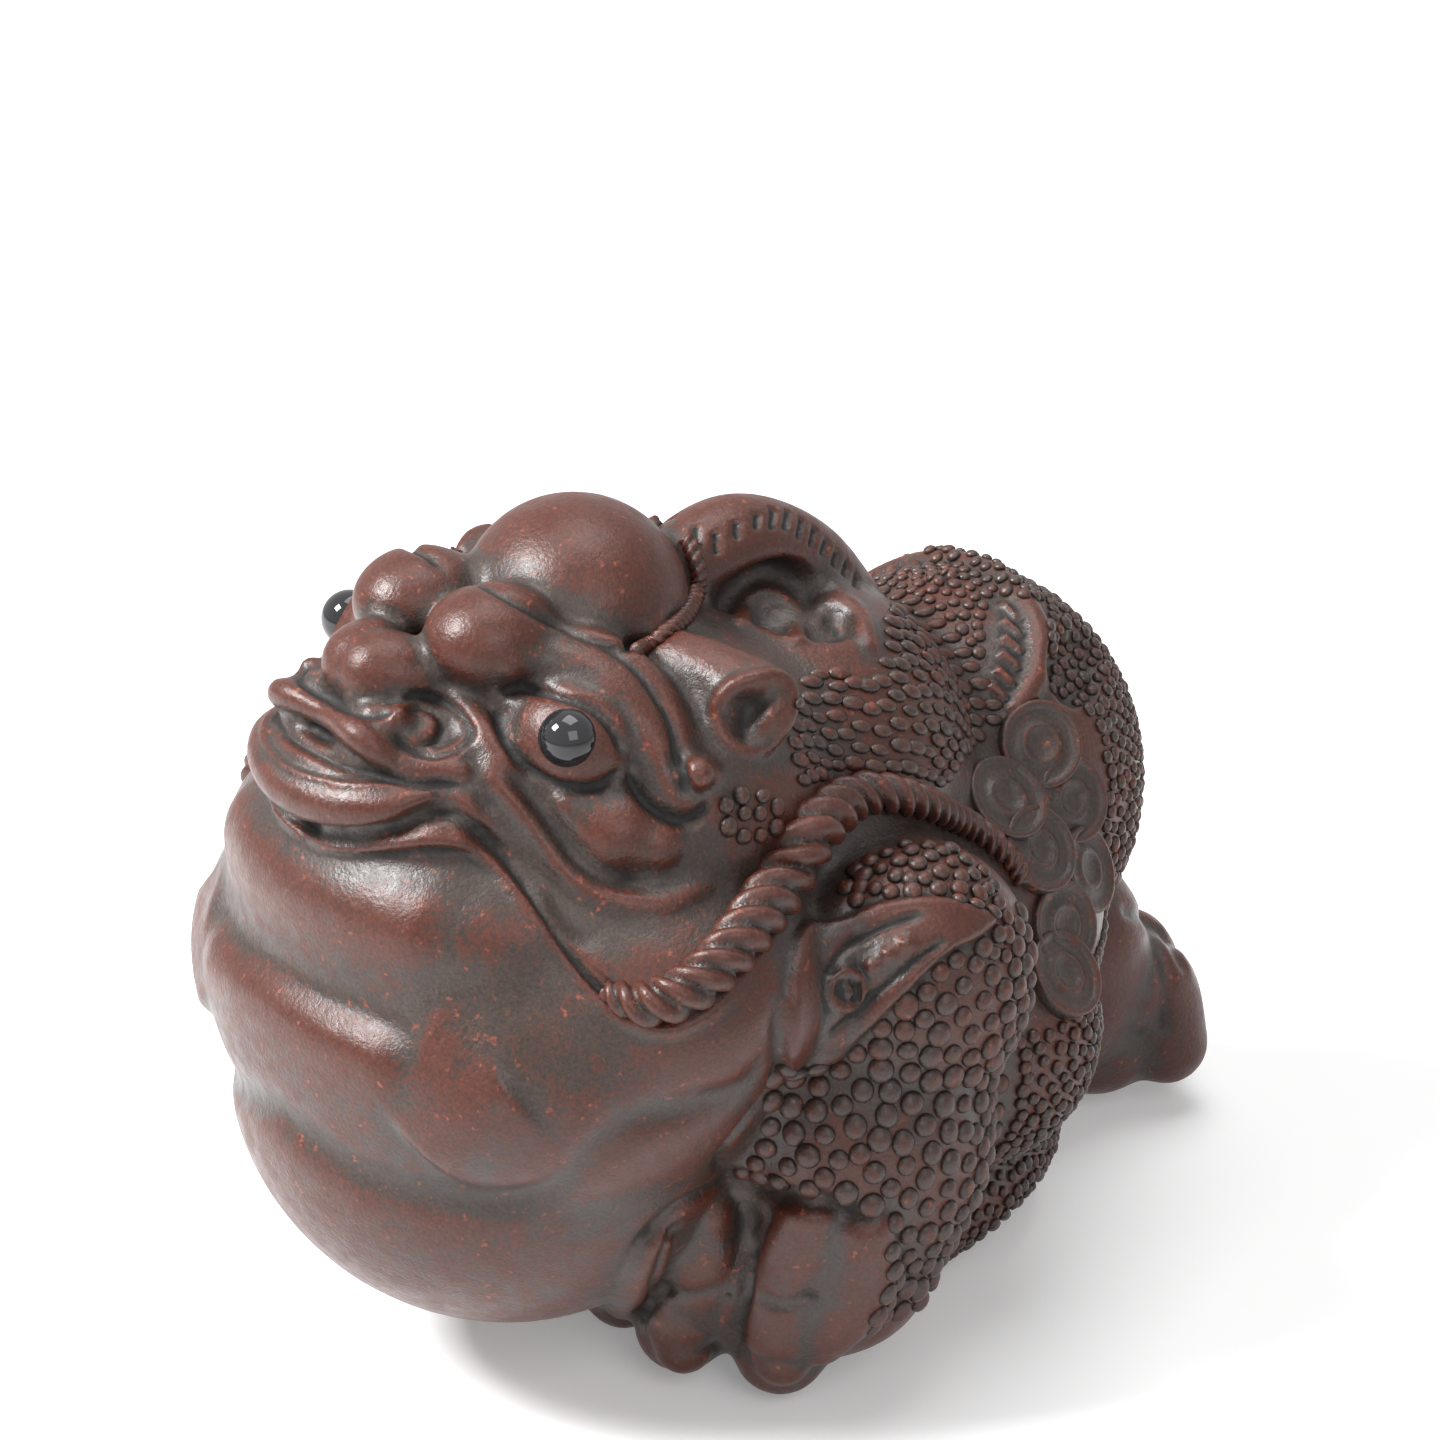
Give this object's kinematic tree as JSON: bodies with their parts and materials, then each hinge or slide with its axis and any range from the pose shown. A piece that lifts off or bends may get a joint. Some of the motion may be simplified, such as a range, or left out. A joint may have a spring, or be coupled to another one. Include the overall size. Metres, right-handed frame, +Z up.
{
  "type": "tea pet",
  "caption": "Unglazed purple-clay tea pet in the form of a squatting toad with a pearl on its head, glass eyes and a flat foot to stand on a tea tray.",
  "frame": {"origin": "middle of the bounding box, on the plane that the toad stands on", "axes": "+Y from the face to the tail, +X towards the toad's own left side, +Z up"},
  "size_m": [0.0821, 0.1166, 0.0875],
  "materials": {
    "clay": "unglazed purple clay, satin from handling",
    "eye_glass": "glossy black bead"
  },
  "bodies": {
    "root": {"toad_body": "clay", "eye_left": "eye_glass", "eye_right": "eye_glass"}
  },
  "joints": []
}
